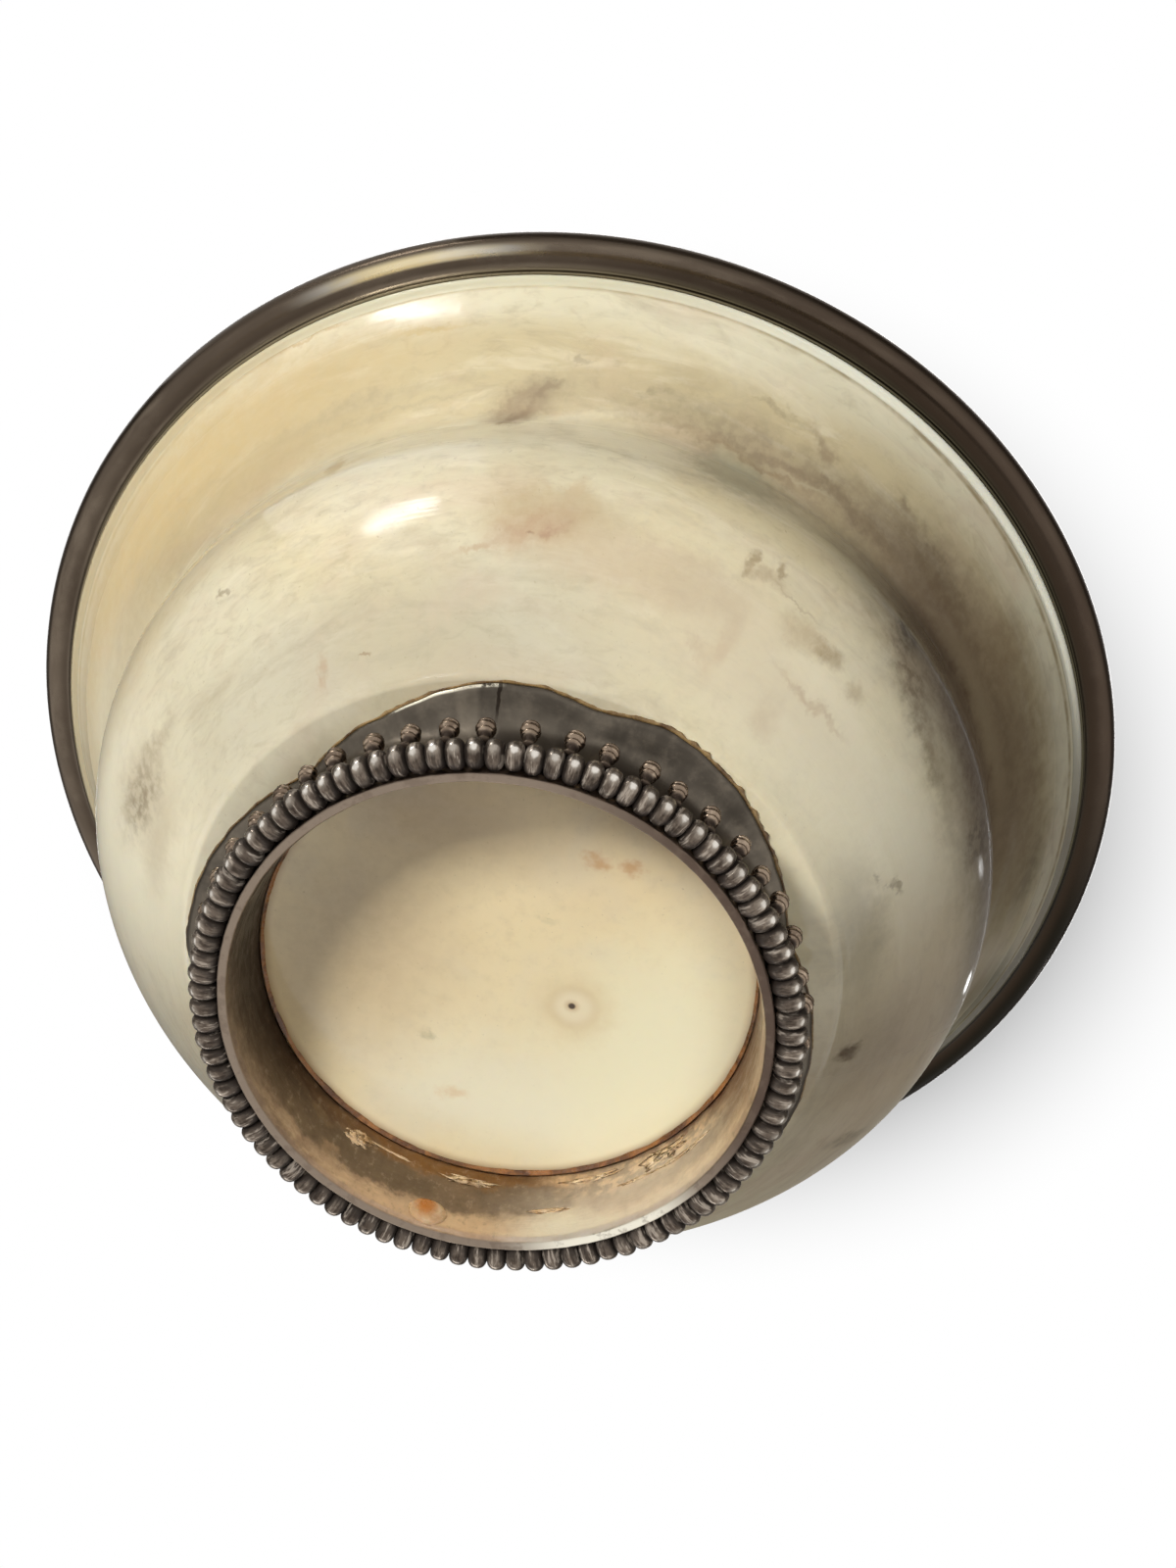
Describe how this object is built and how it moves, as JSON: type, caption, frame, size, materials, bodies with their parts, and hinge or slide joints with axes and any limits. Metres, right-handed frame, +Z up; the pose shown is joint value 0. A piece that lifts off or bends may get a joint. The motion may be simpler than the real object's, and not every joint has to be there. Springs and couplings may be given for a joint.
{
  "type": "bone ritual cup",
  "caption": "Turned bone cup with a rounded belly, waisted neck and flared mouth, bound in silver at the rim, on a beaded silver foot ring.",
  "frame": {"origin": "centre of the foot ring's lower edge, on the surface that the cup stands on", "axes": "+Z up along the cup's axis, towards its mouth; X and Y are alike"},
  "size_m": [0.114, 0.114, 0.0593],
  "materials": {
    "bone": "polished bone, cream with brown-grey stains",
    "silver": "tarnished silver, satin, brighter where it is rubbed",
    "rim_silver": "dark tarnished silver, satin",
    "foot_silver": "tan and copper-brown tarnish, uneven",
    "cement": "old brown cement, half gloss"
  },
  "bodies": {
    "root": {"bone_bowl": "bone", "base_plate": "bone", "plate_glue": "cement", "foot_cement": "cement", "foot_ring": "foot_silver", "foot_collar": "silver", "beaded_wire": "silver", "rim_channel": "rim_silver", "rim_roll": "rim_silver", "post_01": "silver", "post_02": "silver", "post_03": "silver", "post_04": "silver", "post_05": "silver", "post_06": "silver", "post_07": "silver", "post_08": "silver", "post_09": "silver", "post_10": "silver", "post_11": "silver", "post_12": "silver", "post_13": "silver", "post_14": "silver", "post_15": "silver", "post_16": "silver", "post_17": "silver", "post_18": "silver", "post_19": "silver", "post_20": "silver", "post_21": "silver", "post_22": "silver", "post_23": "silver", "post_24": "silver", "post_25": "silver", "post_26": "silver", "post_27": "silver", "post_28": "silver", "post_29": "silver", "post_30": "silver", "post_31": "silver", "post_32": "silver", "post_33": "silver", "post_34": "silver", "post_35": "silver", "post_36": "silver", "post_37": "silver", "post_38": "silver", "post_39": "silver", "post_40": "silver", "post_41": "silver", "post_42": "silver", "post_43": "silver", "post_44": "silver", "post_45": "silver", "post_46": "silver", "post_47": "silver", "post_48": "silver"}
  },
  "joints": []
}
